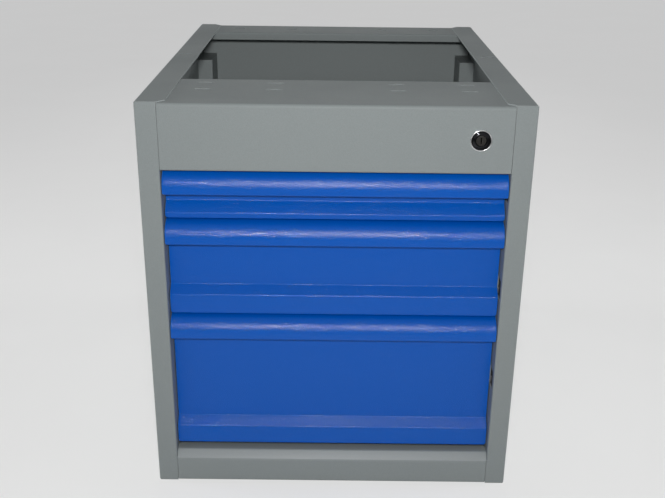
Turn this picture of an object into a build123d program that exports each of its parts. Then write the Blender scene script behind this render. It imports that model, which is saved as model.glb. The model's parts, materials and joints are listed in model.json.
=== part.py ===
"""Three-drawer under-bench cabinet of folded sheet steel.

Millimetres. +X is the user's right, -Y the front, +Z up. The origin is on the floor, under the
centre of the whole cabinet. The body is an open-topped frame of folded sheets: two sides, a front
and a rear top rail, a base and a back. Four posts inside it carry telescopic ball slides, and the
slides carry three drawers whose fronts are one folded sheet with a rolled grip along the top. A
cylinder lock behind the front rail lifts one upright bar that hooks all three drawers.
"""

from build123d import *
import math
import os

# ---------------------------------------------------------------- driving dimensions
# whole cabinet
cabinet_width = 480.0
cabinet_depth = 600.0
cabinet_height = 535.0

# body sheet and its folds
body_sheet = 1.5
bend_radius = 1.0
top_bend_radius = 2.5
seam = 0.4
front_flange = 26.4
flange_return = 34.0
top_flange = 36.0
lower_flange = 26.0
corner_cut_along = 10.0
corner_cut_across = 8.0
corner_cut_lead = 2.0

# top rails
fascia_height = 85.0
front_rail_depth = 140.0
rear_rail_depth = 80.0
rear_strip_height = 40.0
rail_lip = 12.0
fascia_return = 18.0

# fixing slots in the top
slot_length = 20.0
slot_width = 7.0
slot_outer_spacing = 337.0
slot_inner_spacing = 156.0
front_slot_row = 79.0
slot_row_spacing = 38.0
rear_slot_inset = 36.0
side_slot_inset = 15.0
side_slot_row = 312.0

# base and back
base_height = 36.7
base_return = 18.0
back_sheet = 1.0

# posts
post_top_drop = 50.0
post_gap = 2.0
front_post_depth = 60.0
rear_post_depth = 70.5

# drawers: heights share the space under the fascia
drawer_zone_bottom = 53.0
drawer_modules = (1, 2, 3)
gap_above_drawer = 1.6
gap_below_drawer = 0.4
drawer_sheet = 1.0

# drawer fronts
front_sheet = 1.2
front_side_gap = 1.1
grip_start = 1.0
grip_radius = 22.0
grip_height = 30.0
grip_corner = 3.0
grip_hem = 5.0
face_setback = 24.0
ridge_setback = 13.0
ridge_slant_heights = (13.8, 11.2, 11.2)
ridge_strip_heights = (6.8, 26.3, 26.3)
front_corner = 4.5
front_return = 25.6
return_bend = 0.6

# drawer trays
tray_rear_clearance = 20.3
tray_below_top = 8.0
tray_hem = 8.0
tray_hem_drop = 6.0
tray_bend = 1.0

# telescopic slides
slide_rear_clearance = 5.5
slide_thickness = 12.7
slide_height = 35.0
slide_metal = 1.2
slide_start = 42.0
slide_lift = 13.5
fixed_flange = 10.4
middle_member_height = 27.2
middle_member_shorter = 40.0
middle_member_start = 2.4
middle_flange = 9.0
drawer_member_height = 19.4
drawer_member_flange = 7.9
drawer_member_shorter = 16.0
travel_shorter = 50.0
cage_metal = 0.6
cage_clearance = 0.3
cage_flange = 5.5
outer_cage_length = 200.0
inner_cage_length = 210.0
cage_margin = 25.0
ball_clearance = 0.15
ball_hole_clearance = 0.15
balls_per_row = 3
ball_end_distance = 12.0
buffer_length = 7.0
buffer_height = 14.0
buffer_thickness = 8.0
buffer_clearance = 0.3

# screws that hold the slides
screw_diameter = 3.5
screw_head_diameter = 7.0
screw_head_height = 1.0
screw_length = 7.0
drawer_screw_length = 3.6
screw_clearance = 0.1
front_screw_inset = 20.0
rear_screw_inset = 20.0
drawer_screw_inset = 60.0

# cylinder lock
lock_side_distance = 66.4
lock_drop = 42.5
lock_collar_diameter = 26.7
lock_proud = 3.0
lock_collar_edge = 1.2
lock_barrel_diameter = 19.0
lock_barrel_length = 24.0
lock_barrel_clearance = 0.2
lock_plug_diameter = 12.6
lock_plug_clearance = 0.05
lock_plug_recess = 0.6
lock_dish_depth = 1.4
lock_dish_diameter = 20.0
keyway_width = 1.6
keyway_height = 8.0
keyway_depth = 16.0
lock_nut_across_flats = 24.0
lock_nut_thickness = 4.0
lock_nut_clearance = 0.1
tail_width = 6.0
tail_length = 3.4
cam_thickness = 2.0
cam_gap = 0.5
cam_width = 12.0
cam_hole_clearance = 0.1
crank_radius = 10.0
crank_pin_diameter = 5.0
crank_pin_length = 7.5
cam_screw_head_diameter = 8.0
cam_screw_head_height = 2.5
cam_screw_diameter = 3.0
cam_screw_length = 6.0
cam_screw_end_gap = 1.0
lock_turn = 90.0

# locking bar and its guides
bar_metal = 2.0
bar_side_gap = 0.4
bar_start = 11.0
bar_end = 32.5
bar_top_above_axis = 14.0
bar_foot_above_base = 3.0
bar_arm_height = 30.0
bar_arm_past_pin = 8.0
bar_slot_clearance = 0.6
hook_reach = 3.4
hook_height = 8.0
hook_start = 26.4
hook_depth = 3.6
lock_window_start = 8.0
lock_window_height = 27.0
lock_window_above_floor = 39.0
lock_window_raised_modules = (0, 0, 1)
catch_gap = 0.6
catch_metal = 1.5
catch_side_gap = 1.4
catch_foot = 14.0
guide_metal = 2.0
guide_clearance = 0.3
guide_margin = 2.5
guide_foot_height = 14.0
guide_below_window = 20.0

# ---------------------------------------------------------------- places worked out from them
front_y = -(cabinet_depth - lock_proud) / 2
back_y = front_y + cabinet_depth
side_x = cabinet_width / 2
wall_x = side_x - body_sheet
opening_x = side_x - front_flange
rail_top = cabinet_height - body_sheet
fascia_bottom = cabinet_height - fascia_height
back_panel_front = back_y - body_sheet - back_sheet
tray_x = opening_x - slide_thickness
tray_front = front_y + face_setback + front_sheet
front_x = opening_x - front_side_gap
lock_x = side_x - lock_side_distance
lock_z = cabinet_height - lock_drop
lift = 2 * crank_radius * math.sin(math.radians(lock_turn / 2))
bar_x = opening_x + body_sheet + bar_side_gap
hook_front = front_y + hook_start
catch_front = hook_front + hook_depth + catch_gap
post_front = front_y + flange_return + post_gap
post_top = cabinet_height - post_top_drop
drawer_module = (fascia_bottom - drawer_zone_bottom) / sum(drawer_modules)
slide_front = front_y + slide_start
slide_back = back_panel_front - slide_rear_clearance
slide_length = slide_back - slide_front
middle_member_length = slide_length - middle_member_shorter
drawer_member_length = slide_length - drawer_member_shorter
drawer_travel = slide_length - travel_shorter
drawer_numbers = tuple(range(1, len(drawer_modules) + 1))


def drawer_floor(number):
    """Height of the lower limit of a drawer's own zone, counted from the top drawer, 1."""
    return drawer_zone_bottom + drawer_module * sum(drawer_modules[number:])


def front_bottom(number):
    return drawer_floor(number) + gap_below_drawer


def front_top(number):
    return drawer_floor(number) + drawer_module * drawer_modules[number - 1] - gap_above_drawer


def slide_z(number):
    return drawer_floor(number) + slide_lift


def lock_window_z(number):
    """Middle of the window that a drawer's hook reaches through and is lifted in."""
    raised = drawer_module * lock_window_raised_modules[number - 1]
    return drawer_floor(number) + lock_window_above_floor + raised


# ---------------------------------------------------------------- helpers
def block(x_range, y_range, z_range):
    """A box between two limits along each axis."""
    ranges = (x_range, y_range, z_range)
    sizes = [high - low for low, high in ranges]
    centre = [(low + high) / 2 for low, high in ranges]
    return Pos(*centre) * Box(*sizes)


def turned(points, index):
    """+1 where the path turns left at this corner and -1 where it turns right."""
    before = Vector(*points[index]) - Vector(*points[index - 1])
    after = Vector(*points[index + 1]) - Vector(*points[index])
    return math.copysign(1, before.cross(after).Z)


def shifted(points, distance):
    """The same path moved to its right by a distance, with mitred corners."""
    moved = []
    directions = [
        (Vector(*end) - Vector(*start)).normalized() for start, end in zip(points, points[1:])
    ]
    normals = [Vector(d.Y, -d.X) for d in directions]
    for index, point in enumerate(points):
        left = normals[max(index - 1, 0)]
        right = normals[min(index, len(normals) - 1)]
        mitre = (left + right) * (1 / (1 + left.dot(right)))
        place = Vector(*point) + mitre * distance
        moved.append((place.X, place.Y))
    return moved


def folded_face(points, sheet, bends):
    """Section of a bent sheet: the points run along one side and the sheet lies to their right."""
    corners = range(1, len(points) - 1)
    inner_points = shifted(points, sheet)
    outer_radii = [bends[i - 1] + (sheet if turned(points, i) < 0 else 0) for i in corners]
    inner_radii = [bends[i - 1] + (0 if turned(points, i) < 0 else sheet) for i in corners]
    outline = points + inner_points[::-1]
    radii = [0] + outer_radii + [0, 0] + inner_radii[::-1] + [0]
    return make_face(FilletPolyline(*outline, radius=radii, close=True))


def along_x(face, x_range):
    """Extrudes a section drawn in (y, z) between two places along X."""
    low, high = x_range
    return extrude(Plane.YZ.offset(low) * face, high - low)


def along_y(face, y_range):
    """Extrudes a section drawn in (x, z) between two places along Y."""
    low, high = y_range
    return extrude(Plane.XZ.offset(-high) * face, high - low)


def along_z(face, z_range):
    """Extrudes an outline drawn in (x, y) between two heights."""
    low, high = z_range
    return extrude(Plane.XY.offset(low) * face, high - low)


def other_side(part):
    return mirror(part, about=Plane.YZ)


def both_sides(part):
    return [part, other_side(part)]


def fixing_slot(x, y, z):
    """Cutter for one slot through a single sheet whose upper face is at z."""
    return along_z(
        Pos(x, front_y + y) * SlotOverall(slot_length, slot_width),
        (z - 2 * body_sheet, z + body_sheet),
    )


def fixing_slots(spacings, rows, z):
    return [
        fixing_slot(sign * spacing / 2, row, z)
        for spacing in spacings
        for row in rows
        for sign in (-1, 1)
    ]


def write(name, solids):
    """One file per piece; a group of equal pieces is a compound of separate solids."""
    shape = Compound(children=solids) if isinstance(solids, list) else solids
    export_step(shape, f"parts/{name}.step")


# ---------------------------------------------------------------- cabinet body
def side_panel():
    """Right side: one sheet folded inwards along all four edges."""
    inner_x = side_x - top_flange
    envelope = block((inner_x, side_x), (front_y, back_y), (0, cabinet_height))
    outer_edges = envelope.edges().group_by(Axis.X)[-1]
    envelope = fillet(outer_edges, bend_radius + body_sheet)
    hollow = block(
        (inner_x, wall_x),
        (front_y + body_sheet, back_y - body_sheet),
        (body_sheet, cabinet_height - body_sheet),
    )
    hollow = fillet(hollow.edges().group_by(Axis.X)[-1], bend_radius)
    panel = envelope - hollow
    full_height = (0, cabinet_height)
    for y_range in ((front_y, front_y + body_sheet), (back_y - body_sheet, back_y)):
        panel -= block((inner_x, opening_x), y_range, full_height)
    panel -= block((inner_x, side_x - lower_flange), (front_y, back_y), (0, body_sheet))
    panel -= corner_cuts(inner_x) + side_seams(inner_x) + side_slot()
    return with_flange_return(panel)


def with_flange_return(panel):
    """Beside the drawers the front flange is folded back once more, up to the post."""
    z_range = (base_height + seam, fascia_bottom)
    fold = opening_x + 2 * (bend_radius + body_sheet)
    section = folded_face(
        [(fold, front_y), (opening_x, front_y), (opening_x, front_y + flange_return)],
        body_sheet,
        [bend_radius],
    )
    panel -= block((opening_x, fold), (front_y, front_y + body_sheet), z_range)
    return panel + along_z(section, z_range)


def lock_windows():
    """Cutters for the windows in the right return, one for each drawer's hook."""
    y_range = (front_y + lock_window_start, catch_front)
    half = lock_window_height / 2
    windows = []
    for number in drawer_numbers:
        z = lock_window_z(number)
        x_range = (opening_x - body_sheet, opening_x + 2 * body_sheet)
        windows.append(block(x_range, y_range, (z - half, z + half)))
    return windows


def corner_cuts(inner_x):
    """The top flange's inner corners are cut off at a slant, front and rear."""
    front_edge = front_y + body_sheet
    outline = make_face(
        Polyline(
            (inner_x, front_edge),
            (opening_x, front_edge),
            (inner_x + corner_cut_lead, front_edge + corner_cut_across),
            (inner_x, front_edge + corner_cut_along),
            close=True,
        )
    )
    cut = along_z(outline, (rail_top, cabinet_height))
    middle = Plane.XZ.offset(-(front_y + back_y) / 2)
    return Part() + [cut, mirror(cut, about=middle)]


def side_seams(inner_x):
    """Thin open seams where the top and lower flanges meet the front and rear ones."""
    relief_x = wall_x - bend_radius
    seams = []
    for low in (front_y + body_sheet, back_y - body_sheet - seam):
        for z_range in ((rail_top, cabinet_height), (0, body_sheet)):
            seams.append(block((inner_x, relief_x), (low, low + seam), z_range))
    return Part() + seams


def side_slot():
    return fixing_slot(side_x - side_slot_inset, side_slot_row, cabinet_height)


def rail_ears(depth_range, z_range):
    """Tongues that carry a sheet on under the side panels' flanges."""
    right = block((opening_x - 2 * seam, wall_x - bend_radius), depth_range, z_range)
    return both_sides(right)


def front_top_rail():
    """Fascia, upper flange with its lip, and a return along the lower edge."""
    section = folded_face(
        [
            (front_y + fascia_return, fascia_bottom),
            (front_y, fascia_bottom),
            (front_y, rail_top),
            (front_y + front_rail_depth, rail_top),
            (front_y + front_rail_depth, rail_top - rail_lip),
        ],
        body_sheet,
        [bend_radius, top_bend_radius, bend_radius],
    )
    half = opening_x - seam
    rail = along_x(section, (-half, half))
    ear_range = (front_y + body_sheet + 2 * seam, front_y + front_rail_depth - body_sheet - bend_radius)
    rail += rail_ears(ear_range, (rail_top - body_sheet, rail_top))
    rows = (front_slot_row, front_slot_row + slot_row_spacing)
    rail -= fixing_slots((slot_outer_spacing, slot_inner_spacing), rows, rail_top)
    hole = Pos(lock_x, lock_z) * Circle(lock_barrel_diameter / 2 + lock_barrel_clearance)
    return rail - along_y(hole, (front_y - body_sheet, front_y + 2 * body_sheet))


def rear_top_rail():
    """The same idea at the back, with a rear strip between the side panels' flanges."""
    section = folded_face(
        [
            (back_y - rear_rail_depth, rail_top - rail_lip),
            (back_y - rear_rail_depth, rail_top),
            (back_y, rail_top),
            (back_y, rail_top - rear_strip_height),
        ],
        body_sheet,
        [bend_radius, top_bend_radius],
    )
    half = opening_x - seam
    rail = along_x(section, (-half, half))
    ear_range = (
        back_y - rear_rail_depth + body_sheet + bend_radius,
        back_y - body_sheet - back_sheet - 2 * seam,
    )
    rail += rail_ears(ear_range, (rail_top - body_sheet, rail_top))
    rows = (cabinet_depth - rear_slot_inset,)
    return rail - fixing_slots((slot_outer_spacing, slot_inner_spacing), rows, rail_top)


def base_pan():
    """Bottom sheet folded down to a plinth at the front and the rear."""
    section = folded_face(
        [
            (front_y + base_return, 0),
            (front_y, 0),
            (front_y, base_height),
            (back_y, base_height),
            (back_y, 0),
            (back_y - base_return, 0),
        ],
        body_sheet,
        [bend_radius, top_bend_radius, top_bend_radius, bend_radius],
    )
    half = opening_x - seam
    pan = along_x(section, (-half, half))
    ear_range = (front_y + body_sheet + 2 * seam, back_panel_front - seam)
    return pan + rail_ears(ear_range, (base_height - body_sheet, base_height))


def back_panel():
    """Flat sheet against the inner faces of the rear flanges, rear strip and rear plinth."""
    half = wall_x - bend_radius
    heights = (base_height + top_bend_radius, rail_top - body_sheet - top_bend_radius)
    return block((-half, half), (back_panel_front, back_panel_front + back_sheet), heights)


def post(y_start, y_end, screw_inset):
    """Right post: a channel against the side wall, closed at its top and foot."""
    outer = block((opening_x, wall_x), (y_start, y_end), (base_height, post_top))
    web_edges = outer.edges().group_by(Axis.X)[0].filter_by(Axis.Z)
    outer = fillet(web_edges, bend_radius + body_sheet)
    hollow = block(
        (opening_x + body_sheet, wall_x),
        (y_start + body_sheet, y_end - body_sheet),
        (base_height + body_sheet, post_top - body_sheet),
    )
    body = outer - fillet(hollow.edges().group_by(Axis.X)[0].filter_by(Axis.Z), bend_radius)
    for number in drawer_numbers:
        hole = Cylinder(screw_diameter / 2 + screw_clearance, 4 * body_sheet)
        body -= Pos(opening_x, screw_inset, slide_z(number)) * Rot(0, 90, 0) * hole
    return body


# ---------------------------------------------------------------- telescopic slides
front_screw_y = slide_front + front_screw_inset
rear_screw_y = slide_back - rear_screw_inset
cage_front = slide_front + drawer_travel / 4 + cage_margin
middle_outer = middle_member_height / 2
drawer_member_outer = drawer_member_height / 2
fixed_inner = slide_height / 2 - slide_metal
middle_inner = middle_outer - slide_metal
outer_ball = fixed_inner - middle_outer - 2 * ball_clearance
inner_ball = middle_inner - drawer_member_outer - 2 * ball_clearance
outer_ball_height = (fixed_inner + middle_outer) / 2
inner_ball_height = (middle_inner + drawer_member_outer) / 2
outer_cage_web = middle_member_start - cage_clearance - cage_metal
inner_cage_web = middle_member_start + slide_metal + cage_clearance


def channel(outer_height, metal, start, flange, towards_drawer, y_range):
    """Channel lying on its side: web at start, flanges towards or away from the drawer.

    The section is measured inwards from the face of the post.
    """
    half = outer_height / 2
    web = opening_x - start
    lip = web - flange if towards_drawer else web + flange
    path = [(lip, half), (web, half), (web, -half), (lip, -half)]
    if not towards_drawer:
        path = path[::-1]
    section = folded_face(path, metal, [metal / 2, metal / 2])
    return along_y(section, y_range)


def screw_section(length, allowance):
    """Half section of a countersunk screw, or of its seat, larger by an allowance."""
    head = screw_head_diameter / 2 + allowance
    shank = screw_diameter / 2 + allowance
    return make_face(
        Polyline(
            (0, 0),
            (head, 0),
            (shank, -screw_head_height),
            (shank, -length),
            (0, -length),
            close=True,
        )
    )


def turned_screw(section, x, y, z, towards_post):
    """Revolves a screw section and lays it along X, its head at x."""
    turn = Rot(0, -90, 0) if towards_post else Rot(0, 90, 0)
    return Pos(x, y, z) * turn * revolve(Plane.XZ * section, Axis.Z)


def body_screw(y, z):
    """Its flat head lies flush in the fixed member's web, right side."""
    section = screw_section(screw_length, 0)
    return turned_screw(section, opening_x - slide_metal, y, z, True)


def drawer_screw(y, z):
    section = screw_section(drawer_screw_length, 0)
    return turned_screw(section, tray_x + slide_metal, y, z, False)


def fixed_member(number):
    """Outer member of the right slide, screwed to both posts."""
    z = slide_z(number)
    member = Pos(0, 0, z) * channel(
        slide_height, slide_metal, 0, fixed_flange, True, (slide_front, slide_back)
    )
    for y in (front_screw_y, rear_screw_y):
        seat = screw_section(screw_length, screw_clearance)
        member -= turned_screw(seat, opening_x - slide_metal, y, z, True)
    return member


def middle_member(number):
    """Middle member, half-way between the fixed one and the drawer's."""
    y_range = (slide_front, slide_front + middle_member_length)
    return Pos(0, 0, slide_z(number)) * channel(
        middle_member_height, slide_metal, middle_member_start, middle_flange, True, y_range
    )


def drawer_member(number):
    """Inner member, its web flat against the drawer's side."""
    z = slide_z(number)
    y_range = (slide_front, slide_front + drawer_member_length)
    member = Pos(0, 0, z) * channel(
        drawer_member_height, slide_metal, slide_thickness, drawer_member_flange, False, y_range
    )
    for y in drawer_screw_places():
        seat = screw_section(drawer_screw_length, screw_clearance)
        member -= turned_screw(seat, tray_x + slide_metal, y, z, False)
    return member


def drawer_screw_places():
    first = slide_front + drawer_screw_inset
    return (first, slide_front + drawer_member_length - drawer_screw_inset)


def ball_cage(number, web_start, ball_height, ball, length):
    """Bent strip with two rows of balls, right side; returns the strip and its balls."""
    z = slide_z(number)
    y_range = (cage_front, cage_front + length)
    height = 2 * ball_height + cage_metal
    strip = Pos(0, 0, z) * channel(height, cage_metal, web_start, cage_flange, True, y_range)
    pitch = (length - 2 * ball_end_distance) / (balls_per_row - 1)
    x = opening_x - web_start - cage_flange / 2 - cage_metal / 2
    balls = []
    for index in range(balls_per_row):
        y = y_range[0] + ball_end_distance + index * pitch
        strip -= Pos(x, y, z) * Cylinder(ball / 2 + ball_hole_clearance, slide_height)
        balls += [Pos(x, y, z + sign * ball_height) * Sphere(ball / 2) for sign in (-1, 1)]
    return [strip] + balls


def outer_cage(number):
    return ball_cage(
        number, outer_cage_web, outer_ball_height, outer_ball, outer_cage_length
    )


def inner_cage(number):
    return ball_cage(
        number, inner_cage_web, inner_ball_height, inner_ball, inner_cage_length
    )


def buffers():
    """Rubber blocks in the rear ends of the fixed members that stop the closing drawers."""
    start = slide_front + drawer_member_length + buffer_clearance
    inner = opening_x - slide_metal
    blocks = []
    for number in drawer_numbers:
        z = slide_z(number)
        x_range = (inner - buffer_thickness, inner)
        z_range = (z - buffer_height / 2, z + buffer_height / 2)
        stop = block(x_range, (start, start + buffer_length), z_range)
        stop = fillet(stop.edges().filter_by(Axis.Z).group_by(Axis.Y)[0], bend_radius)
        blocks += both_sides(stop)
    return blocks


# ---------------------------------------------------------------- drawers
def drawer_front(number):
    """One sheet: rolled grip, recessed face, slanted ridge, return along the foot, side cheeks."""
    top = front_top(number)
    bottom = front_bottom(number)
    ridge_bottom = bottom + ridge_strip_heights[number - 1]
    ridge_top = ridge_bottom + ridge_slant_heights[number - 1]
    grip_y = front_y + grip_start
    face_back = front_y + face_setback + front_sheet
    ridge_back = front_y + ridge_setback + front_sheet
    return_y = front_y + front_return
    section = folded_face(
        [
            (grip_y + grip_hem, top - grip_height),
            (grip_y, top - grip_height),
            (grip_y, top),
            (face_back, top),
            (face_back, ridge_top),
            (ridge_back, ridge_bottom),
            (ridge_back, bottom + front_sheet),
            (return_y, bottom + front_sheet),
        ],
        front_sheet,
        [return_bend, grip_radius - front_sheet, return_bend, return_bend, return_bend, return_bend],
    )
    sheet = along_x(section, (-front_x, front_x)) & front_limits(top, bottom)
    return sheet + both_sides(cheek(top, bottom, ridge_top, ridge_bottom))


def front_limits(top, bottom):
    """What the front fills seen straight on: rounded lower corners on the grip and on the foot."""
    middle_y = front_y + (grip_hem + ridge_setback) / 2
    back = front_y + front_return + front_sheet
    grip = rounded_foot(top, top - grip_height, grip_corner, (front_y, middle_y))
    return grip + rounded_foot(top, bottom, front_corner, (middle_y, back))


def rounded_foot(top, foot, radius, y_range):
    outline = Pos(0, (top + foot) / 2) * Rectangle(2 * front_x, top - foot)
    outline = fillet(outline.vertices().group_by(Axis.Y)[0], radius)
    return along_y(outline, y_range)


def cheek(top, bottom, ridge_top, ridge_bottom):
    """Right side of the front: the face sheet folded back, following the ridge."""
    low = bottom + front_corner
    high = top - front_corner
    outline = make_face(
        Polyline(
            (front_y + face_setback, high),
            (front_y + face_setback, ridge_top),
            (front_y + ridge_setback, ridge_bottom),
            (front_y + ridge_setback, low),
            (front_y + front_return, low),
            (front_y + front_return, high),
            close=True,
        )
    )
    return along_x(outline, (front_x - front_sheet, front_x))


def drawer_tray(number):
    """Open-topped tray with its upper edges hemmed inwards."""
    low = front_bottom(number) + front_sheet
    high = front_top(number) - tray_below_top
    y_start = tray_front
    y_end = back_panel_front - tray_rear_clearance
    outer = block((-tray_x, tray_x), (y_start, y_end), (low, high))
    outer = fillet(outer.edges().filter_by(Axis.Z), tray_bend + drawer_sheet)
    inner = block(
        (-tray_x + drawer_sheet, tray_x - drawer_sheet),
        (y_start + drawer_sheet, y_end - drawer_sheet),
        (low + drawer_sheet, high),
    )
    inner = fillet(inner.edges().filter_by(Axis.Z), tray_bend)
    tray = outer - inner + hems(y_start, y_end, high)
    for y in drawer_screw_places():
        for side in (-1, 1):
            hole = Rot(0, 90, 0) * Cylinder(screw_diameter / 2 + screw_clearance, 4 * drawer_sheet)
            tray -= Pos(side * tray_x, y, slide_z(number)) * hole
    return tray


def hems(y_start, y_end, high):
    """Inward folds along both side walls' upper edges."""
    section = folded_face(
        [
            (tray_x - tray_hem, high - tray_hem_drop),
            (tray_x - tray_hem, high),
            (tray_x - drawer_sheet / 2, high),
        ],
        drawer_sheet,
        [tray_bend],
    )
    hem = along_y(section, (y_start + tray_bend + drawer_sheet, y_end - tray_bend - drawer_sheet))
    return both_sides(hem)


def drawer_screws(number):
    screws = []
    for y in drawer_screw_places():
        screws += both_sides(drawer_screw(y, slide_z(number)))
    return screws


def body_screws():
    screws = []
    for number in drawer_numbers:
        for y in (front_screw_y, rear_screw_y):
            screws += both_sides(body_screw(y, slide_z(number)))
    return screws


def catch_z(number):
    """Half the bar's lift above the window's middle; an open hook waits as far below it."""
    return lock_window_z(number) + lift / 2


def drawer_catch(number):
    """Small angle on the tray's right side; the bar's hook stands in front of its lug."""
    start = catch_front
    reach = opening_x - catch_side_gap
    outline = make_face(
        Polyline(
            (tray_x, start),
            (reach, start),
            (reach, start + catch_metal),
            (tray_x + catch_metal, start + catch_metal),
            (tray_x + catch_metal, start + catch_foot),
            (tray_x, start + catch_foot),
            close=True,
        )
    )
    z = catch_z(number)
    return along_z(outline, (z - hook_height / 2, z + hook_height / 2))


# ---------------------------------------------------------------- cylinder lock
def at_lock(part):
    """Places something turned about +Z, front face at z = 0, on the lock's axis."""
    return Pos(lock_x, front_y, lock_z) * Rot(90, 0, 0) * part


def lock_cylinder():
    """Collar and threaded barrel with the bore that the plug turns in."""
    collar = lock_collar_diameter / 2
    barrel = lock_barrel_diameter / 2
    bore = lock_plug_diameter / 2 + lock_plug_clearance
    dish = lock_dish_diameter / 2
    profile = make_face(
        Polyline(
            (bore, lock_proud - lock_dish_depth),
            (dish - lock_dish_depth, lock_proud - lock_dish_depth),
            (dish, lock_proud),
            (collar - lock_collar_edge, lock_proud),
            (collar, lock_proud - lock_collar_edge),
            (collar, 0),
            (barrel, 0),
            (barrel, -lock_barrel_length),
            (bore, -lock_barrel_length),
            close=True,
        )
    )
    return at_lock(revolve(Plane.XZ * profile, Axis.Z))


def lock_nut():
    """Flat hexagon nut that clamps the cylinder to the fascia."""
    hexagon = RegularPolygon(lock_nut_across_flats / 2, 6, major_radius=False)
    ring = hexagon - Circle(lock_barrel_diameter / 2 + lock_nut_clearance)
    return at_lock(Pos(0, 0, -body_sheet - lock_nut_thickness) * extrude(ring, lock_nut_thickness))


def lock_plug():
    """Turning core with its key slot, and a square tail for the cam."""
    front = lock_proud - lock_dish_depth + lock_plug_recess
    length = lock_barrel_length + front
    core = Pos(0, 0, front - length) * extrude(Circle(lock_plug_diameter / 2), length)
    core = chamfer(core.faces().sort_by(Axis.Z)[-1].edges(), lock_plug_recess / 2)
    keyway = Pos(0, 0, front - keyway_depth) * extrude(
        Rectangle(keyway_width, keyway_height), keyway_depth
    )
    tail = Pos(0, 0, -lock_barrel_length - tail_length) * extrude(
        Rectangle(tail_width, tail_width), tail_length
    )
    tail = Rot(0, 0, -lock_turn / 2) * tail
    tapping = Pos(0, 0, -lock_barrel_length - tail_length) * extrude(
        Circle(cam_screw_diameter / 2 + cam_hole_clearance), cam_screw_length
    )
    return at_lock(core - keyway + tail - tapping)


def lock_cam():
    """Crank plate with a pin at its outer end, lowest when the lock is open."""
    plate = SlotCenterToCenter(crank_radius, cam_width)
    plate = Pos(crank_radius / 2, 0) * plate
    hole = tail_width + 2 * cam_hole_clearance
    plate = extrude(plate - Rectangle(hole, hole), cam_thickness)
    pin = Pos(crank_radius, 0) * Circle(crank_pin_diameter / 2)
    pin = Pos(0, 0, -crank_pin_length) * extrude(pin, crank_pin_length)
    back = -lock_barrel_length - cam_gap - cam_thickness
    return at_lock(Rot(0, 0, -lock_turn / 2) * Pos(0, 0, back) * (plate + pin))


def cam_screw():
    """Pan-head screw that holds the cam on the tail."""
    seat = -lock_barrel_length - tail_length
    head = Pos(0, 0, seat - cam_screw_head_height) * extrude(
        Circle(cam_screw_head_diameter / 2), cam_screw_head_height
    )
    head = fillet(head.faces().sort_by(Axis.Z)[0].edges(), cam_screw_head_height / 3)
    shank = Pos(0, 0, seat) * extrude(
        Circle(cam_screw_diameter / 2), cam_screw_length - cam_screw_end_gap
    )
    return at_lock(head + shank)


def locking_bar():
    """Upright bar with a slotted arm at its top for the crank pin."""
    y_start = front_y + bar_start
    y_end = front_y + bar_end
    crank_z = lock_z - crank_radius * math.sin(math.radians(lock_turn / 2))
    top = crank_z + bar_top_above_axis
    foot = base_height + bar_foot_above_base
    strip = block((bar_x, bar_x + bar_metal), (y_start, y_end), (foot, top))
    arm_end = lock_x + crank_radius * math.cos(math.radians(lock_turn / 2)) - bar_arm_past_pin
    arm = block((arm_end, bar_x + bar_metal), (y_end - bar_metal, y_end), (top - bar_arm_height, top))
    nearest = lock_x + crank_radius * math.cos(math.radians(lock_turn / 2))
    farthest = lock_x + crank_radius
    width = crank_pin_diameter + 2 * bar_slot_clearance
    slot = Pos((nearest + farthest) / 2, crank_z) * SlotOverall(
        farthest - nearest + width, width
    )
    arm -= along_y(slot, (y_end - 2 * bar_metal, y_end + bar_metal))
    return strip + arm


def bar_hooks():
    """Stops welded to the bar, one for each drawer, that stand below the catches when it is open."""
    hooks = []
    for number in drawer_numbers:
        z = catch_z(number) - lift
        hooks.append(
            block(
                (opening_x - hook_reach, bar_x),
                (hook_front, hook_front + hook_depth),
                (z - hook_height / 2, z + hook_height / 2),
            )
        )
    return hooks


def bar_guides():
    """Angles on the side wall; each has a notch that holds the bar against the return."""
    y_start = front_y + bar_start - guide_clearance
    y_end = front_y + bar_end + guide_clearance
    across = (y_start - guide_margin, y_end + guide_margin)
    guides = []
    for number in drawer_numbers:
        height = lock_window_z(number) - lock_window_height / 2 - guide_below_window
        plate_heights = (height, height + guide_metal)
        plate = block((opening_x + body_sheet, wall_x), across, plate_heights)
        foot = block((wall_x - guide_metal, wall_x), across, (height, height + guide_foot_height))
        notch_end = bar_x + bar_metal + guide_clearance
        notch = block((opening_x, notch_end), (y_start, y_end), plate_heights)
        guides.append(plate + foot - notch)
    return guides


# ---------------------------------------------------------------- the whole cabinet
def write_pair(name, right_part):
    """A right-hand piece and its mirror image on the left, each in its own file."""
    write(f"{name}_right", right_part)
    write(f"{name}_left", other_side(right_part))


def write_body():
    panel = side_panel()
    write("side_panel_right", panel - lock_windows())
    write("side_panel_left", other_side(panel))
    write("front_top_rail", front_top_rail())
    write("rear_top_rail", rear_top_rail())
    write("base_pan", base_pan())
    write("back_panel", back_panel())
    write_pair("front_post", post(post_front, post_front + front_post_depth, front_screw_y))
    write_pair("rear_post", post(back_panel_front - rear_post_depth, back_panel_front, rear_screw_y))
    write("slide_screws", body_screws())
    write("slide_buffers", buffers())


def write_drawer(number):
    write(f"drawer_{number}_front", drawer_front(number))
    write(f"drawer_{number}_tray", drawer_tray(number))
    write(f"drawer_{number}_catch", drawer_catch(number))
    write(f"drawer_{number}_screws", drawer_screws(number))
    write_pair(f"slide_{number}_fixed", fixed_member(number))
    write_pair(f"slide_{number}_middle", middle_member(number))
    write_pair(f"slide_{number}_inner", drawer_member(number))
    for name, cage in (("outer", outer_cage(number)), ("inner", inner_cage(number))):
        write(f"slide_{number}_{name}_cages", cage + [other_side(piece) for piece in cage])


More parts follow.
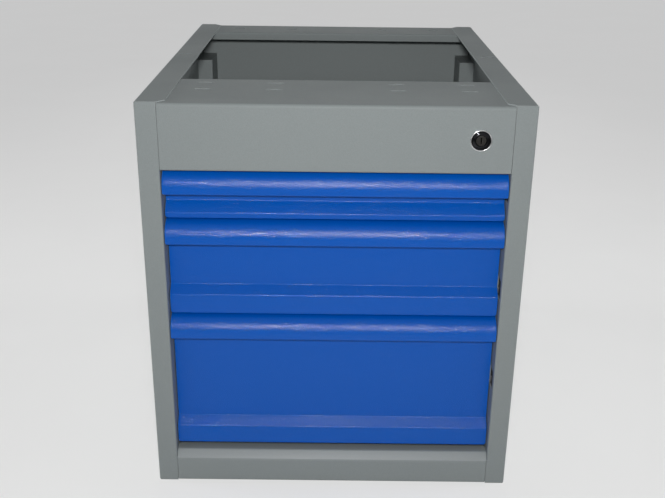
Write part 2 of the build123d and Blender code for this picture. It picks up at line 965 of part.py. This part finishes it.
def write_lock():
    write("lock_cylinder", lock_cylinder())
    write("lock_nut", lock_nut())
    write("lock_plug", lock_plug())
    write("lock_cam", lock_cam())
    write("lock_cam_screw", cam_screw())
    write("locking_bar", locking_bar())
    write("locking_bar_hooks", bar_hooks())
    write("locking_bar_guides", bar_guides())


os.makedirs("parts", exist_ok=True)
write_body()
for drawer_number in drawer_numbers:
    write_drawer(drawer_number)
write_lock()
print("bar lift", round(lift, 3), "drawer travel", drawer_travel)
print("height module", round(drawer_module, 3))
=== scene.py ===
# %% [markdown]
# # A three-drawer steel cabinet
# The construction comes finished from CAD: folded sheets, slides, drawers and the lock, each piece
# already in its place. This file gives them their look. It sets up a camera, a floor and a soft
# studio light, makes a finish for every kind of surface, and models two small pieces that are
# easier to shape here. All lengths are in metres, and the frame's own places are used throughout.

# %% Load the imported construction
import json
import math

import bpy
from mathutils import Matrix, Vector


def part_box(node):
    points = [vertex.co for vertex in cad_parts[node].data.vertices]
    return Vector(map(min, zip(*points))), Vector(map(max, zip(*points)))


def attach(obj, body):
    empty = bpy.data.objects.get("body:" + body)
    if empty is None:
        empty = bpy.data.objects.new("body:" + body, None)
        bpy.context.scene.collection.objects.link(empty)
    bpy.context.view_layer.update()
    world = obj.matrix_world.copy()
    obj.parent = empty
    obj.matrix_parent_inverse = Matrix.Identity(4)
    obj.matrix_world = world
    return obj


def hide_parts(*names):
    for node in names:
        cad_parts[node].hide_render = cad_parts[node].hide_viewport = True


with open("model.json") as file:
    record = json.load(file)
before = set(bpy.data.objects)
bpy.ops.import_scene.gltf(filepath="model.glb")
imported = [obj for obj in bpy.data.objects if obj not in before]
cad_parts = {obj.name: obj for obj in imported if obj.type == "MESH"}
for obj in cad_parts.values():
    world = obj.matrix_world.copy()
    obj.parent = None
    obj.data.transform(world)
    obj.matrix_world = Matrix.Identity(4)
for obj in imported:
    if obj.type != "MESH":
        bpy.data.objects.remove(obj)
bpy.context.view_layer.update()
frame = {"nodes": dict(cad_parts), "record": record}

nodes = frame["nodes"]

# %% [markdown]
# ## Camera
# The view is from in front and above, with a lens of normal length, close enough that the front
# looks larger than the rear. The place and the three angles were found by matching the cabinet's
# corners, so they are given as plain numbers. A camera can also be aimed with a Track To
# constraint, but a fixed rotation keeps its small roll.

# %% Camera
camera_place = (-0.0033, -1.3716, 0.7876)
camera_angles = (67.81667, -0.61233, 0.21187)
camera_lens = 50.029
camera_film_width = 36.0
camera_nearest = 0.05
camera_farthest = 100.0

camera_data = bpy.data.cameras.new("camera")
camera_data.lens = camera_lens
camera_data.sensor_width = camera_film_width
camera_data.clip_start = camera_nearest
camera_data.clip_end = camera_farthest
camera = bpy.data.objects.new("camera", camera_data)
camera.location = camera_place
camera.rotation_euler = [math.radians(angle) for angle in camera_angles]
bpy.context.collection.objects.link(camera)
bpy.context.scene.camera = camera

# %% [markdown]
# ## Materials: the tools
# Every finish here is built from a Principled shader and a few noise textures. These helpers
# start a material, add one node with its settings, and make the four things that keep coming
# back: grain, a stretched range, two tones and a bump. Each finish after them then reads as a
# short recipe. Object coordinates are used because they are in metres on the piece itself, so a
# grain of one millimetre is a noise scale of about a thousand on every piece alike.

# %% Material helpers
opaque = 1.0


def new_material(name, **settings):
    """An empty material with a Principled shader; settings are its sockets' fixed values."""
    material = bpy.data.materials.new(name)
    material.use_nodes = True
    tree = material.node_tree
    shader = tree.nodes["Principled BSDF"]
    for socket, value in settings.items():
        shader.inputs[socket.replace("_", " ")].default_value = value
    return material, tree, shader


def add_node(tree, kind, inputs=(), **settings):
    """One node; inputs pairs a socket's name or number with a value or another node's output."""
    node = tree.nodes.new(kind)
    for key, value in settings.items():
        setattr(node, key, value)
    for socket, value in dict(inputs).items():
        if isinstance(value, bpy.types.NodeSocket):
            tree.links.new(value, node.inputs[socket])
        else:
            node.inputs[socket].default_value = value
    return node


def grain(tree, scale, detail=2.0):
    """Noise on the piece's own coordinates, about 1 / scale metres from bump to bump."""
    place = add_node(tree, "ShaderNodeTexCoord").outputs["Object"]
    look = {"Vector": place, "Scale": scale, "Detail": detail}
    return add_node(tree, "ShaderNodeTexNoise", look).outputs["Fac"]


def spread(tree, source, low, high, narrow=0.35, wide=0.65):
    """Stretches a value between narrow and wide, the middle of a noise, to low and high."""
    ranges = {
        "Value": source,
        "From Min": narrow,
        "From Max": wide,
        "To Min": low,
        "To Max": high,
    }
    return add_node(tree, "ShaderNodeMapRange", ranges).outputs["Result"]


def two_tones(tree, factor, first, second):
    """Colour from first to second with the factor; each is a colour or a node's output."""
    ends = {"Factor": factor}
    for socket, tone in (("A", first), ("B", second)):
        is_output = isinstance(tone, bpy.types.NodeSocket)
        ends[socket] = tone if is_output else (*tone, opaque)
    return add_node(tree, "ShaderNodeMix", ends, data_type="RGBA").outputs["Result"]


def bump(tree, shader, source, height, normal=None):
    """Bumps the shader by a noise; height is from its valleys to its crests, in metres."""
    inputs = {"Strength": 1.0, "Distance": height, "Height": source}
    if normal is not None:
        inputs["Normal"] = normal
    bumped = add_node(tree, "ShaderNodeBump", inputs).outputs["Normal"]
    tree.links.new(bumped, shader.inputs["Normal"])


print("helpers ready")

# %% [markdown]
# ## Edges
# No fold or cut edge in sheet metal is perfectly sharp, and the small round on it catches the
# light as a thin bright line. It could be modelled with a bevel on every edge, at the cost of a
# great many faces. The Bevel node gives the same line for nothing: it rounds what the shader
# believes about each edge. Where the rounded and the true direction differ, there is an edge.

# %% Edges
bevel_samples = 6
edge_full = 0.80
edge_none = 0.995


def rounded_normal(tree, radius):
    """The surface's direction as if each edge had this radius."""
    bevel = add_node(tree, "ShaderNodeBevel", {"Radius": radius}, samples=bevel_samples)
    return bevel.outputs["Normal"]


# The powder coat paints its edges paler by this mask: partly thinner paint, partly a painted
# highlight.
def edge_mask(tree, rounded):
    """0 on flat sheet and up to 1 on sharp edges, by comparing true and rounded directions."""
    true = add_node(tree, "ShaderNodeNewGeometry").outputs["Normal"]
    pair = {0: rounded, 1: true}
    alike = add_node(tree, "ShaderNodeVectorMath", pair, operation="DOT_PRODUCT")
    return spread(tree, alike.outputs["Value"], 1.0, 0.0, edge_full, edge_none)


print("edges ready")

# %% [markdown]
# ## Powder coat
# Powder coat is sprayed as dust and melted in an oven. It flows into a skin with a fine orange
# peel, one to two millimetres from crest to crest, with a still finer grain in its colour. The
# skin is thinner and paler on sharp folds; the paler colour there is also a painted highlight
# along each bend. An image texture would repeat and show seams at the folds, so the peel is a
# noise bump. The blue paint is the glossier one and its peel is finer, which is what breaks the
# light on the rolled grips into small sparks.

# %% Powder coat
speckle_scale = 2400.0
speckle_dark = 0.93
speckle_light = 1.07
cloud_scale = 9.0
cloud_detail = 3.0
cloud_smoother = 0.04
cloud_rougher = 0.05


def powder_coat(
    name, colour, edge_colour_and_highlight, roughness, specular, peel_height, edge_radius, peel_scale=620.0
):
    """Paint with an orange peel of this height and scale; edges of this radius get a paler colour,
    thinner paint and a painted highlight.
    """
    material, tree, shader = new_material(name, Metallic=0.0, Specular_IOR_Level=specular)
    rounded = rounded_normal(tree, edge_radius)
    dark = [value * speckle_dark for value in colour]
    light = [value * speckle_light for value in colour]
    speckle = spread(tree, grain(tree, speckle_scale, 1.0), 0.0, 1.0)
    body = two_tones(tree, speckle, tuple(dark), tuple(light))
    painted = two_tones(tree, edge_mask(tree, rounded), body, edge_colour_and_highlight)
    tree.links.new(painted, shader.inputs["Base Color"])
    cloud = grain(tree, cloud_scale, cloud_detail)
    shine = spread(tree, cloud, roughness - cloud_smoother, roughness + cloud_rougher)
    tree.links.new(shine, shader.inputs["Roughness"])
    bump(tree, shader, grain(tree, peel_scale), peel_height, rounded)
    return material


# The edge tones are paler: partly thinner paint, partly a painted highlight on the bend.
grey = (0.25, 0.275, 0.275)
grey_edge_and_highlight = (0.34, 0.37, 0.37)
finishes = {
    "grey_paint": powder_coat(
        "grey_paint",
        grey,
        grey_edge_and_highlight,
        roughness=0.44,
        specular=0.13,
        peel_height=0.00010,
        edge_radius=0.0008,
    ),
    "blue_paint": powder_coat(
        "blue_paint",
        (0.0, 0.088, 0.45),
        # Paler blue on the edges: partly thinner paint, partly a painted highlight.
        (0.03, 0.20, 0.62),
        roughness=0.13,
        specular=0.32,
        peel_height=0.00040,
        edge_radius=0.0016,
        peel_scale=900.0,
    ),
    "tray_paint": powder_coat(
        "tray_paint",
        (0.27, 0.29, 0.29),
        (0.36, 0.38, 0.38),
        roughness=0.5,
        specular=0.25,
        peel_height=0.00008,
        edge_radius=0.0007,
    ),
}
print("powder coats", list(finishes))

# %% [markdown]
# ## Bright metal
# The slides are zinc plated: a slightly blue, slightly cloudy metal with marks along its length
# from the rolling. Fasteners are the same metal turned, the plug is nickel made dark as a painted
# reflection of a dark room, and the lock's face is chrome. All are the Principled shader at full
# metallic. What tells them apart is how rough they are, how fine their streaks are and how deep
# the bump is. The streaks are noise stretched along the piece's depth.

# %% Bright metal
metal_edge_radius = 0.0003
streak_stretch = (1.0, 0.04, 1.0)
streak_detail = 3.0
tarnish_scale = 60.0
tarnish_detail = 4.0
tarnish_dark = 0.82
streak_smoother = 0.06
streak_rougher = 0.08


def plated(name, colour, roughness, streak_scale, bump_height):
    """Bare or plated metal with streaks along y and faint clouds in its colour."""
    material, tree, shader = new_material(name, Metallic=1.0)
    place = add_node(tree, "ShaderNodeTexCoord").outputs["Object"]
    drawn = add_node(tree, "ShaderNodeMapping", {"Vector": place, "Scale": streak_stretch})
    look = {
        "Vector": drawn.outputs["Vector"],
        "Scale": streak_scale,
        "Detail": streak_detail,
    }
    streaks = add_node(tree, "ShaderNodeTexNoise", look).outputs["Fac"]
    dark = tuple(value * tarnish_dark for value in colour)
    tarnish = spread(tree, grain(tree, tarnish_scale, tarnish_detail), 0.0, 1.0)
    tree.links.new(two_tones(tree, tarnish, dark, colour), shader.inputs["Base Color"])
    shine = spread(tree, streaks, roughness - streak_smoother, roughness + streak_rougher)
    tree.links.new(shine, shader.inputs["Roughness"])
    bump(tree, shader, streaks, bump_height, rounded_normal(tree, metal_edge_radius))
    return material


metals = {
    "zinc_steel": {
        "colour": (0.60, 0.62, 0.65),
        "roughness": 0.32,
        "streak_scale": 1400.0,
        "bump_height": 0.00001,
    },
    "bright_fasteners": {
        "colour": (0.66, 0.66, 0.63),
        "roughness": 0.26,
        "streak_scale": 900.0,
        "bump_height": 0.000008,
    },
    "chrome_plate": {
        "colour": (0.95, 0.95, 0.96),
        "roughness": 0.20,
        "streak_scale": 500.0,
        "bump_height": 0.000002,
    },
    # The plug's nickel is made dark, a painted reflection of a dark room.
    "plug_metal": {
        "colour": (0.20, 0.19, 0.18),
        "roughness": 0.16,
        "streak_scale": 700.0,
        "bump_height": 0.000012,
    },
}
for metal, look in metals.items():
    finishes[metal] = plated(metal, **look)
print("plated metals", list(metals))

# %% [markdown]
# ## Rubber
# The buffers behind the drawers are moulded black rubber. It is almost a plain dark surface, so
# the little there is to see is a broad soft sheen and a dusty, slightly uneven skin.

# %% Rubber
rubber_clean = (0.012, 0.012, 0.013)
rubber_dusty = (0.035, 0.034, 0.033)
dust_scale = 220.0
dust_detail = 4.0
dust_from = 0.45
dust_to = 0.75
sheen_scale = 900.0
sheen_least = 0.55
sheen_most = 0.75
skin_scale = 1500.0
skin_height = 0.00005


def moulded_rubber(name):
    """Black rubber with patches of dust on its skin."""
    material, tree, shader = new_material(name, Metallic=0.0, Specular_IOR_Level=0.35)
    dust = spread(tree, grain(tree, dust_scale, dust_detail), 0.0, 1.0, dust_from, dust_to)
    skin = two_tones(tree, dust, rubber_clean, rubber_dusty)
    tree.links.new(skin, shader.inputs["Base Color"])
    sheen = spread(tree, grain(tree, sheen_scale), sheen_least, sheen_most)
    tree.links.new(sheen, shader.inputs["Roughness"])
    bump(tree, shader, grain(tree, skin_scale), skin_height)
    return material


finishes["black_rubber"] = moulded_rubber("black_rubber")
print("rubber ready")

# %% [markdown]
# ## Phosphated steel
# The locking bar and its guides are left as dark phosphated steel. Phosphate is a crust of tiny
# crystals that holds oil, so it is nearly black, matt, and browner where it is dry. Two noises
# do it: a broad one between the oily and the dry tone, and a fine one for the crystals.

# %% Phosphated steel
steel_oily = (0.030, 0.026, 0.023)
steel_dry = (0.085, 0.066, 0.050)
dry_scale = 45.0
dry_detail = 4.0
crust_scale = 300.0
crust_detail = 3.0
crust_least = 0.42
crust_most = 0.62
crystal_scale = 2600.0
crystal_height = 0.00003


def phosphated(name):
    """Dark matt steel, browner where it is dry."""
    material, tree, shader = new_material(name, Metallic=0.35, Specular_IOR_Level=0.3)
    dry = spread(tree, grain(tree, dry_scale, dry_detail), 0.0, 1.0)
    crust = two_tones(tree, dry, steel_oily, steel_dry)
    tree.links.new(crust, shader.inputs["Base Color"])
    matt = spread(tree, grain(tree, crust_scale, crust_detail), crust_least, crust_most)
    tree.links.new(matt, shader.inputs["Roughness"])
    bump(tree, shader, grain(tree, crystal_scale), crystal_height)
    return material


finishes["dark_steel"] = phosphated("dark_steel")
print("dark steel ready")

# %% [markdown]
# ## Dress the construction
# Each node of the frame names the finish it has in the record. A node's mesh stays as it came
# and only its material slots are filled, so this step is one loop over the record.

# %% Dress the construction
for subpart in frame["record"]["subparts"]:
    piece = nodes[subpart["node"]]
    for material_slot in piece.material_slots:
        material_slot.material = finishes[subpart["material_slot"]]

# %% [markdown]
# ## The tools for two small pieces
# A mesh can be written down point by point, or pulled into shape with the editing tools, as here.
# Each tool works on what is selected, so everything is deselected first. A modifier is applied at
# once, so that the next step finds its result in the mesh. The strip is made the way a press
# brake makes it: a first leg, then one more leg pulled from its edge for each fold. The bends
# are rounded first and the sheet gets its thickness last, so both of its faces are rounded alike.

# %% Folding a strip
smooth_below = math.radians(30)
bend_segments = 5
unit_sheet = 1.0


def deselect_all():
    """Back to object mode with nothing selected."""
    if bpy.context.object and bpy.context.object.mode != "OBJECT":
        bpy.ops.object.mode_set(mode="OBJECT")
    bpy.ops.object.select_all(action="DESELECT")


def finish_with(piece, kind, **settings):
    """Adds one modifier with its settings and applies it."""
    modifier = piece.modifiers.new(kind.lower(), kind)
    for key, value in settings.items():
        setattr(modifier, key, value)
    bpy.ops.object.modifier_apply(modifier=modifier.name)


def folded_strip(name, section, half_width, thickness, bend):
    """A strip folded along the (y, z) corners of its upper face, equally wide to both sides."""
    deselect_all()
    bpy.ops.mesh.primitive_plane_add(size=unit_sheet)
    strip = bpy.context.object
    strip.name = name
    for vertex in strip.data.vertices:
        far = vertex.co.y > 0
        y, z = section[1] if far else section[0]
        vertex.co = (math.copysign(half_width, vertex.co.x), y, z)
        vertex.select = far
    for edge in strip.data.edges:
        edge.select = all(strip.data.vertices[index].select for index in edge.vertices)
    strip.data.polygons[0].select = False
    bpy.ops.object.mode_set(mode="EDIT")
    bpy.ops.mesh.select_mode(type="VERT")
    for (y, z), (next_y, next_z) in zip(section[1:], section[2:]):
        leg = (0.0, next_y - y, next_z - z)
        bpy.ops.mesh.extrude_region_move(TRANSFORM_OT_translate={"value": leg})
    bpy.ops.object.mode_set(mode="OBJECT")
    rounding = {"width": bend, "segments": bend_segments}
    finish_with(strip, "BEVEL", limit_method="ANGLE", angle_limit=smooth_below, **rounding)
    finish_with(strip, "SOLIDIFY", thickness=thickness, offset=-1.0, use_even_offset=True)
    bpy.ops.object.shade_smooth_by_angle(angle=smooth_below)
    return strip


print("folding ready")

# %% [markdown]
# ## The sill on the bottom sheet
# Along the front of the bottom sheet runs a raised sill. It leaves the plinth's upper bend at 45
# degrees, lies flat under the lowest drawer's foot and turns down to the sheet again. Its first
# corner lies in the middle of the sheet's own bend, where that bend has turned by 45 degrees, so
# the two surfaces run on into each other. Its paint is a little glossier than the rest of the
# body: the flat of it lies almost along the line of sight and shines.

# %% Sill
sill_height = 0.0081
sill_back = 0.024
sill_gap = 0.0012
sill_sheet = 0.0015
sill_bend = 0.0016
same_plane = 1e-6

pan_low, pan_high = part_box("base_pan")
pan_points = [vertex.co for vertex in nodes["base_pan"].data.vertices]
bend_start = max(point.z for point in pan_points if abs(point.y - pan_low.y) < same_plane)
pan_bend = pan_high.z - bend_start
to_middle_of_bend = pan_bend * (1 - math.cos(math.radians(45)))
slant_foot = (pan_low.y + to_middle_of_bend, pan_high.z - to_middle_of_bend)
sill_top = pan_high.z + sill_height
slant_top = (slant_foot[0] + sill_top - slant_foot[1], sill_top)
sill_end = pan_low.y + sill_back
sill_section = [slant_foot, slant_top, (sill_end, sill_top), (sill_end, pan_high.z)]
sill = folded_strip("base_sill", sill_section, pan_high.x - sill_gap, sill_sheet, sill_bend)
sill_paint = powder_coat(
    "sill_paint",
    grey,
    grey_edge_and_highlight,
    roughness=0.40,
    specular=0.90,
    peel_height=0.00014,
    edge_radius=0.0008,
)
sill.data.materials.append(sill_paint)
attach(sill, "cabinet")
print("pan bend", round(pan_bend, 4), "sill top", round(sill_top, 4))

# %% [markdown]
# ## Spinning a profile
# A turned piece is a profile swept about an axis. It could be built with the Screw modifier, but
# the Spin tool does it about any axis. A circle of as many points as the profile has is laid
# along the profile, spun once round, and joined to itself where the turn closes.

# %% Spinning a profile
spin_steps = 96
spin_smooth_below = math.radians(40)
seam_distance = 1e-6
any_radius = 0.01


def spun_piece(name, profile, centre):
    """A closed profile of (radius, depth) points spun about a line along y through the centre."""
    deselect_all()
    bpy.ops.mesh.primitive_circle_add(
        vertices=len(profile), radius=any_radius, fill_type="NOTHING"
    )
    piece = bpy.context.object
    piece.name = name
    for vertex, (radius, depth) in zip(piece.data.vertices, profile):
        vertex.co = (centre.x + radius, centre.y + depth, centre.z)
    bpy.ops.object.mode_set(mode="EDIT")
    bpy.ops.mesh.select_all(action="SELECT")
    bpy.ops.mesh.spin(steps=spin_steps, angle=math.tau, center=centre, axis=(0, 1, 0))
    bpy.ops.mesh.select_all(action="SELECT")
    bpy.ops.mesh.remove_doubles(threshold=seam_distance)
    bpy.ops.mesh.normals_make_consistent(inside=False)
    bpy.ops.object.mode_set(mode="OBJECT")
    bpy.ops.object.shade_smooth_by_angle(angle=spin_smooth_below)
    return piece


print("spinning ready")

# %% [markdown]
# ## The lock's face
# The lock is a turned brass body with a chromed face: a thin rim, a groove behind it, and a
# rounded crown round the plug. Its outline is what the light picks out, so the whole body is
# spun again from a profile with true curves. The profile is written in five stretches, from the
# rim inwards and back along the barrel: a quarter round, a small chamfer, half a wave for groove
# and crown, the lip of the plug's bore, and the straight body.

# %% Lock profile
lock_low, lock_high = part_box("lock_cylinder")
plug_low, plug_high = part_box("lock_plug")
collar_radius = (lock_high.z - lock_low.z) / 2
lock_middle = (lock_low + lock_high) / 2
lock_centre = Vector((lock_middle.x, lock_low.y, lock_middle.z))
plug_radius = (plug_high.z - plug_low.z) / 2

plug_clearance = 0.00005
barrel_radius = 0.0095
rim_width = 0.0015
rim_round = 0.0009
rim_steps = 5
chamfer = 0.0003
chamfer_start = 0.00005
chamfer_shares = (0.0, 0.5, 1.0)
groove_from_rim = 0.0026
groove_depth = 0.0016
crown_from_plug = 0.0015
crown_depth = 0.0004
wave_steps = 10
bore_lip = 0.0005
bore_lip_depth = 0.0002
bore_start = 0.0009

bore_radius = plug_radius + plug_clearance
groove_radius = collar_radius - groove_from_rim
crown_radius = plug_radius + crown_from_plug
rim_inner = collar_radius - rim_width
lock_back = lock_high.y - lock_low.y
fascia_plane = pan_low.y - lock_low.y

turns = [math.radians(90) * step / rim_steps for step in range(rim_steps + 1)]
rim = [
    (collar_radius - rim_round * (1 - math.cos(turn)), rim_round * (1 - math.sin(turn)))
    for turn in turns
]
wall = [
    (rim_inner + chamfer * (1 - share), chamfer_start + chamfer * share)
    for share in chamfer_shares
]
middle_depth = (groove_depth + crown_depth) / 2
swing = (groove_depth - crown_depth) / 2
dish = [
    (
        groove_radius + (crown_radius - groove_radius) * step / wave_steps,
        middle_depth + swing * math.cos(math.pi * step / wave_steps),
    )
    for step in range(wave_steps + 1)
]
lip = [(bore_radius + bore_lip, crown_depth + bore_lip_depth), (bore_radius, crown_depth + bore_start)]
barrel = [
    (bore_radius, lock_back),
    (barrel_radius, lock_back),
    (barrel_radius, fascia_plane),
    (collar_radius, fascia_plane),
]
lock_profile = rim + wall + dish + lip + barrel
print("profile points", len(lock_profile), "collar", round(2 * collar_radius, 4))

# %% [markdown]
# ## The lock's chrome and its painted dark reflection
# Groove and crown mirror a dark room where the rim mirrors the light. A studio is pale all round,
# so the dark room is painted into the metal: the faces inside the rim get a darker chrome, a
# painted reflection of that room.

# %% Lock body
# Chrome darkened to paint the reflection of a dark room on the groove and crown.
chrome_painted_dark_reflection = plated(
    "chrome_painted_dark_reflection",
    (0.045, 0.045, 0.05),
    roughness=0.09,
    streak_scale=500.0,
    bump_height=0.000002,
)
lock_body = spun_piece("lock_body", lock_profile, lock_centre)
lock_body.data.materials.append(finishes["chrome_plate"])
lock_body.data.materials.append(chrome_painted_dark_reflection)
for face in lock_body.data.polygons:
    place = face.center - lock_centre
    inside_rim = math.hypot(place.x, place.z) < rim_inner and place.y < fascia_plane
    face.material_index = 1 if inside_rim else 0
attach(lock_body, "cabinet")
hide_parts("lock_cylinder")
print("lock faces", len(lock_body.data.polygons))

# %% [markdown]
# ## Floor
# The cabinet stands on a plain pale floor. A wide disc with a soft, slightly uneven surface takes
# its shadow. A lit floor is brightest near the lamps, so about half of what the camera sees of
# it is a fixed pale tone. That evens it out without adding any light, and the shadow
# stays in the other half. The disc starts as a filled circle and is then inset, which gives
# rings of faces from its middle to its rim.

# %% Floor
floor_radius = 30.0
floor_corners = 96
floor_rings = (0.5, 0.2)
floor_tones = ((0.74, 0.74, 0.73), (0.78, 0.78, 0.77))
floor_cloud_scale = 3.0
floor_cloud_detail = 4.0
floor_seen_tone = (0.95, 0.95, 0.95, opaque)
floor_seen_share = 0.55


def pale_floor_material(name):
    """Pale floor whose look to the camera is partly a fixed tone."""
    material, tree, shader = new_material(name, Roughness=0.7, Specular_IOR_Level=0.2)
    cloud = spread(tree, grain(tree, floor_cloud_scale, floor_cloud_detail), 0.0, 1.0)
    tree.links.new(two_tones(tree, cloud, *floor_tones), shader.inputs["Base Color"])
    seen = add_node(tree, "ShaderNodeEmission", {"Color": floor_seen_tone, "Strength": 1.0})
    camera_ray = add_node(tree, "ShaderNodeLightPath").outputs["Is Camera Ray"]
    factors = {0: camera_ray, 1: floor_seen_share}
    share = add_node(tree, "ShaderNodeMath", factors, operation="MULTIPLY").outputs["Value"]
    parts = {0: share, 1: shader.outputs["BSDF"], 2: seen.outputs["Emission"]}
    mixed = add_node(tree, "ShaderNodeMixShader", parts).outputs["Shader"]
    tree.links.new(mixed, tree.nodes["Material Output"].inputs["Surface"])
    return material


def plain_floor(name, radius):
    """A disc at the height of the cabinet's underside, with rings of faces."""
    deselect_all()
    bpy.ops.mesh.primitive_circle_add(
        vertices=floor_corners, radius=radius, fill_type="NGON", location=(0, 0, 0)
    )
    disc = bpy.context.object
    disc.name = name
    bpy.ops.object.mode_set(mode="EDIT")
    for share in floor_rings:
        bpy.ops.mesh.inset(thickness=radius * share)
    bpy.ops.object.mode_set(mode="OBJECT")
    return disc


floor = plain_floor("floor", floor_radius)
floor.data.materials.append(pale_floor_material("pale_floor"))
print("floor faces", len(floor.data.polygons))

# %% [markdown]
# ## Light
# The light is plain and soft. A small lamp a little above the camera gives the fronts their even
# level and the narrow bright bands along the rolled grips. A weaker wide lamp overhead fills the
# shadows, and lamps at the sides and the rear light what the front lamp can't reach. These three
# shine in a narrow cone, so that they light the cabinet and not the floor at their feet, and they
# are left out of mirrorings, where they would show as patches on the top flanges.

# %% Lamps
lamp_target = Vector((0.0, 0.0, 0.3))
front_place = (0.0, -1.42, 0.89)
overhead_place = (0.0, 0.1, 2.6)
side_place = (3.6, 0.4, 0.80)
rear_place = (0.0, 3.8, 0.80)
front_size = (0.12, 0.07)
overhead_size = (1.8, 1.8)
side_size = (1.4, 0.5)
rear_size = (1.6, 0.5)
front_power = 12.0
overhead_power = 4.4
side_power = 5.5
rear_power = 5.5
open_cone = 180.0
narrow_cone = 45.0


def area_lamp(name, place, size, power, cone=open_cone, mirrored=True):
    """A rectangular lamp aimed at the cabinet's middle."""
    lamp = bpy.data.lights.new(name, "AREA")
    lamp.shape = "RECTANGLE"
    lamp.size, lamp.size_y = size
    lamp.energy = power
    lamp.spread = math.radians(cone)
    holder = bpy.data.objects.new(name, lamp)
    holder.location = place
    holder.rotation_euler = (lamp_target - Vector(place)).to_track_quat("-Z", "Y").to_euler()
    holder.visible_glossy = mirrored
    bpy.context.collection.objects.link(holder)


area_lamp("front_lamp", front_place, front_size, front_power)
area_lamp("overhead_lamp", overhead_place, overhead_size, overhead_power)
for side in (-1, 1):
    place = (side * side_place[0], *side_place[1:])
    area_lamp("side_lamp", place, side_size, side_power, narrow_cone, mirrored=False)
area_lamp("rear_lamp", rear_place, rear_size, rear_power, narrow_cone, mirrored=False)

# %% [markdown]
# ## World
# The world does two jobs with two tones. As a light it is faint, and only takes the black out of
# the deepest shadows. To the camera it is the pale backdrop, so nothing competes with the
# cabinet. What paint and metal mirror lies between the two, or they would look milky.

# %% World
fill_tone = (0.95, 0.97, 1.0, opaque)
fill_strength = 0.11
backdrop_tone = (0.86, 0.87, 0.88, opaque)
mirrored_share = 0.42

world = bpy.data.worlds.new("world")
world.use_nodes = True
bpy.context.scene.world = world
sky = world.node_tree
fill_light = sky.nodes["Background"]
fill_light.inputs["Color"].default_value = fill_tone
fill_light.inputs["Strength"].default_value = fill_strength
backdrop = add_node(sky, "ShaderNodeBackground", {"Color": backdrop_tone, "Strength": 1.0})
rays = add_node(sky, "ShaderNodeLightPath").outputs
shiny_rays = {0: rays["Is Glossy Ray"], 1: rays["Is Transmission Ray"]}
shiny = add_node(sky, "ShaderNodeMath", shiny_rays, operation="MAXIMUM").outputs["Value"]
dimming = {0: shiny, 1: mirrored_share}
dimmed = add_node(sky, "ShaderNodeMath", dimming, operation="MULTIPLY").outputs["Value"]
seen_rays = {0: rays["Is Camera Ray"], 1: dimmed}
seen = add_node(sky, "ShaderNodeMath", seen_rays, operation="MAXIMUM").outputs["Value"]
skies = {0: seen, 1: fill_light.outputs["Background"], 2: backdrop.outputs["Background"]}
both = add_node(sky, "ShaderNodeMixShader", skies).outputs["Shader"]
sky.links.new(both, sky.nodes["World Output"].inputs["Surface"])
bpy.context.scene.view_settings.view_transform = "Standard"
print("world fill", round(fill_strength, 2))
